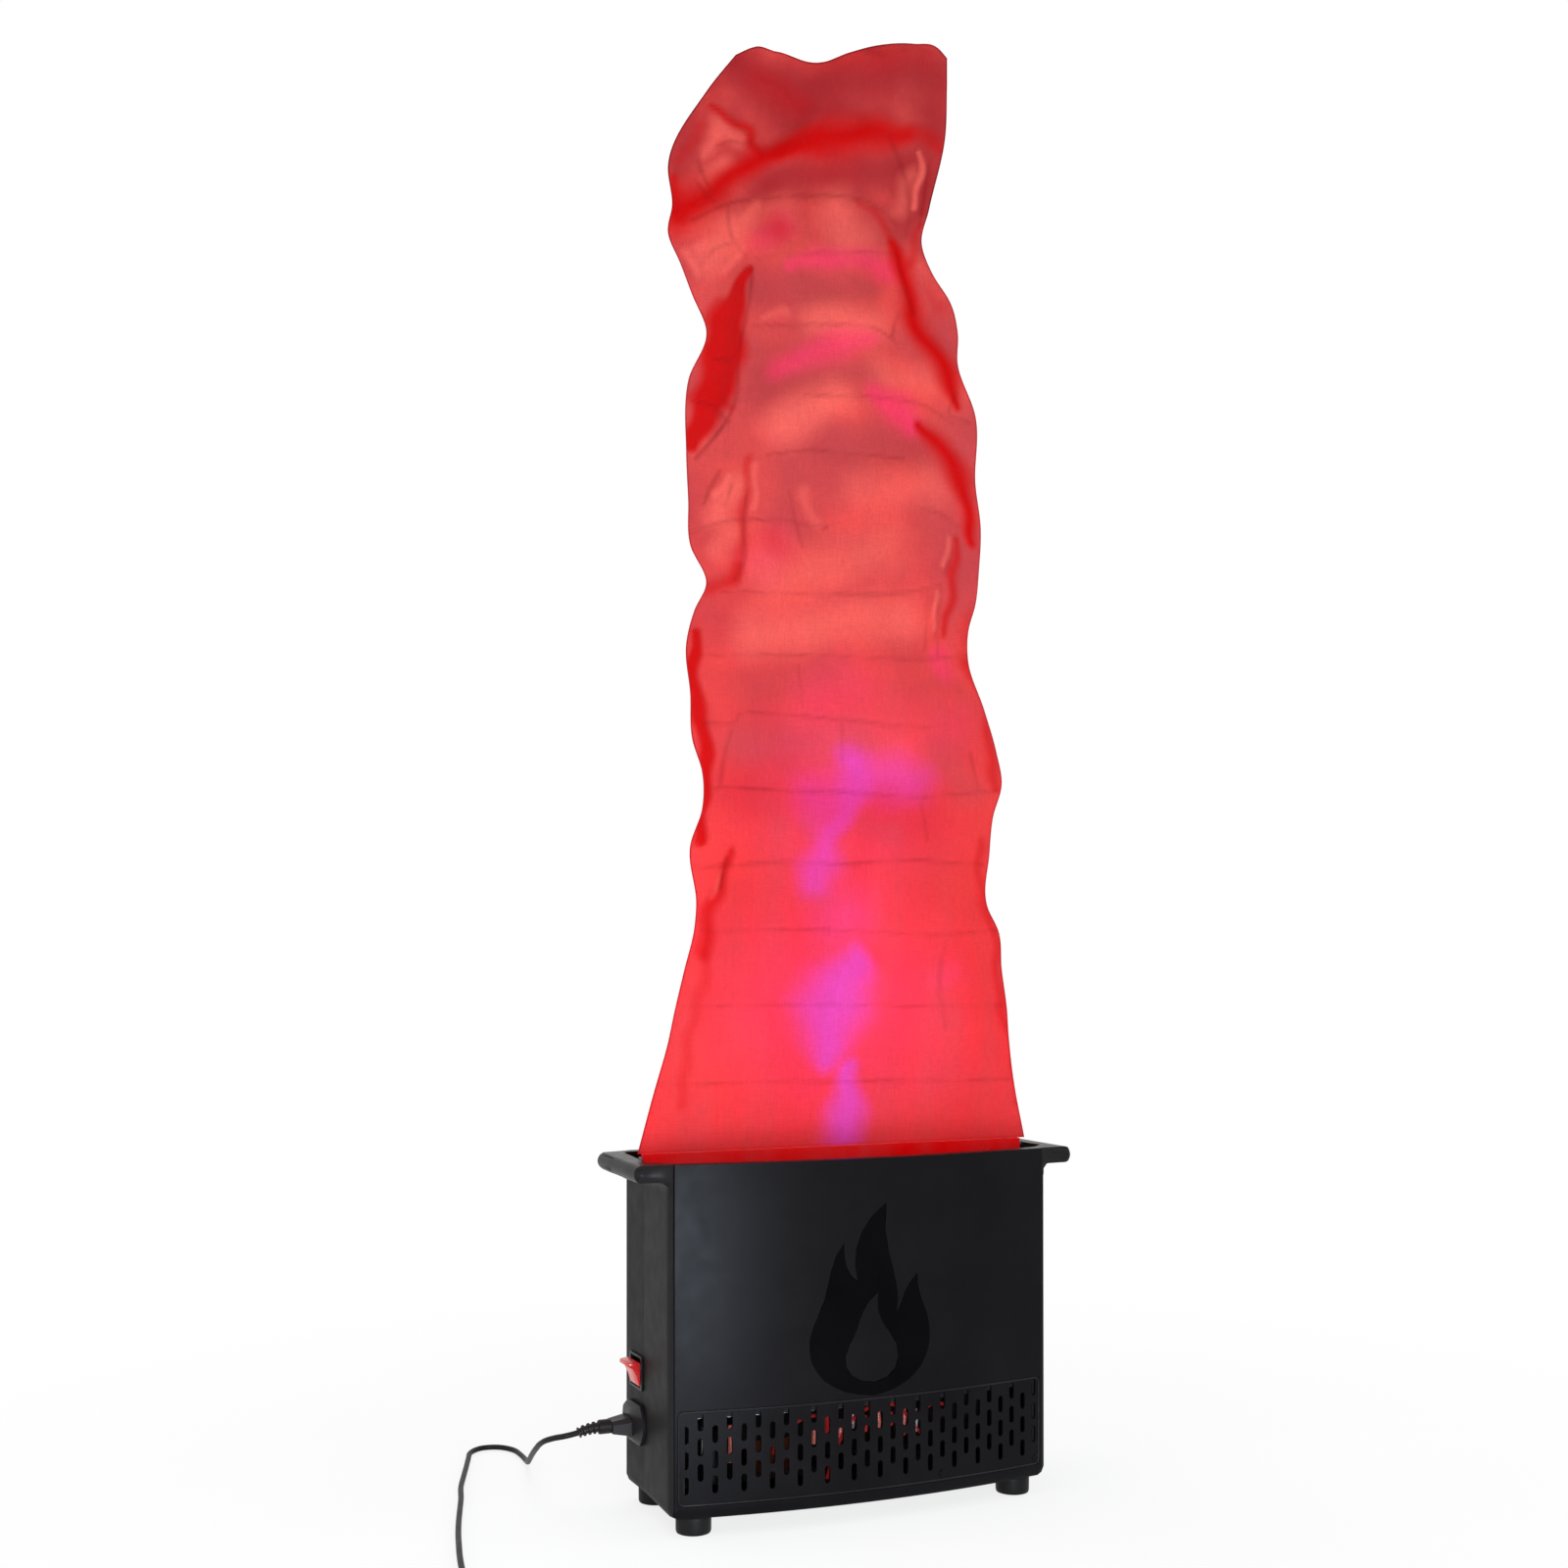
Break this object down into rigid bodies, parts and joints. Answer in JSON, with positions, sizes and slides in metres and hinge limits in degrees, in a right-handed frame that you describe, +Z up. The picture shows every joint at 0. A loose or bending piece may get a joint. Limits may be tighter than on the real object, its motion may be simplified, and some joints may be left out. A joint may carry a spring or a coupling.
{
  "type": "silk flame effect light",
  "caption": "Stage light that blows a sheet of red silk upright from a black housing and lights it from below, with a rocker switch and a mains cord.",
  "frame": {"origin": "on the ground, under the middle of the housing, at the bottom of the feet", "axes": "+Z up, the bowed front with its grille faces -Y, the switch and inlet are on the -X side"},
  "size_m": [0.6643, 0.511, 1.343],
  "materials": {
    "shell": "matt black ABS with a fine grain",
    "panel": "satin black",
    "grille": "matt black",
    "emblem": "gloss black",
    "rubber": "matt black rubber",
    "screws": "blackened steel",
    "switch": "semi-gloss black",
    "rocker": "translucent red",
    "cord": "black vinyl",
    "pins": "bare brass",
    "aluminium": "bare",
    "fan": "black plastic",
    "steel": "zinc plated wire and strip",
    "circuit": "green board",
    "lens": "clear lens",
    "copper": "copper winding under varnish",
    "sleeve": "dark blue sleeve",
    "silk": "light red silk, lit from below",
    "hem": "red silk, two layers"
  },
  "bodies": {
    "housing": {"front_shell": "shell", "rear_shell": "shell", "front_panel": "panel", "flame_emblem": "emblem", "front_grille": "grille", "switch_frame": "switch", "mains_inlet": "switch", "cord_connector": "cord", "cord_strain_relief": "cord", "cord_lead": "cord", "cord_coil": "cord", "mains_plug": "cord", "inner_mains_lead": "cord", "coil_tie": "rubber", "plug_blade_left": "pins", "plug_blade_right": "pins", "plug_earth_pin": "pins", "fan_tray": "aluminium", "fan_frame_left": "aluminium", "fan_frame_right": "aluminium", "fan_guard_left": "steel", "fan_guard_right": "steel", "lamp_rail_front": "aluminium", "lamp_rail_rear": "aluminium", "lamp_board_front": "circuit", "lamp_board_rear": "circuit", "supply_board": "circuit", "controller_board": "circuit", "transformer": "copper", "capacitor": "sleeve", "silk_bar": "steel", "silk_hem": "hem", "silk_flame": "silk", "lamp_lens_front_1": "lens", "lamp_lens_front_2": "lens", "lamp_lens_front_3": "lens", "lamp_lens_rear_1": "lens", "lamp_lens_rear_2": "lens", "lamp_lens_rear_3": "lens", "foot_front_left": "rubber", "foot_screw_front_left": "screws", "foot_front_right": "rubber", "foot_screw_front_right": "screws", "foot_rear_left": "rubber", "foot_screw_rear_left": "screws", "foot_rear_right": "rubber", "foot_screw_rear_right": "screws", "back_screw_low_left": "screws", "back_screw_low_right": "screws", "back_screw_high_left": "screws", "back_screw_high_right": "screws", "grille_screw_middle": "screws", "grille_screw_right": "screws"},
    "rocker": {"rocker_button": "rocker"},
    "impeller_left": {"fan_impeller_left": "fan"},
    "impeller_right": {"fan_impeller_right": "fan"}
  },
  "joints": [
    {"name": "rocker_hinge", "type": "hinge", "parent": "housing", "child": "rocker", "pos_m": [-0.182, 0.0395, 0.124], "axis": [0, 1, 0], "range_deg": [0, 28]},
    {"name": "left_fan_spin", "type": "hinge", "parent": "housing", "child": "impeller_left", "pos_m": [-0.063, 0.01, 0.088], "axis": [0, 0, 1], "continuous": true},
    {"name": "right_fan_spin", "type": "hinge", "parent": "housing", "child": "impeller_right", "pos_m": [0.063, 0.01, 0.088], "axis": [0, 0, 1], "continuous": true}
  ]
}
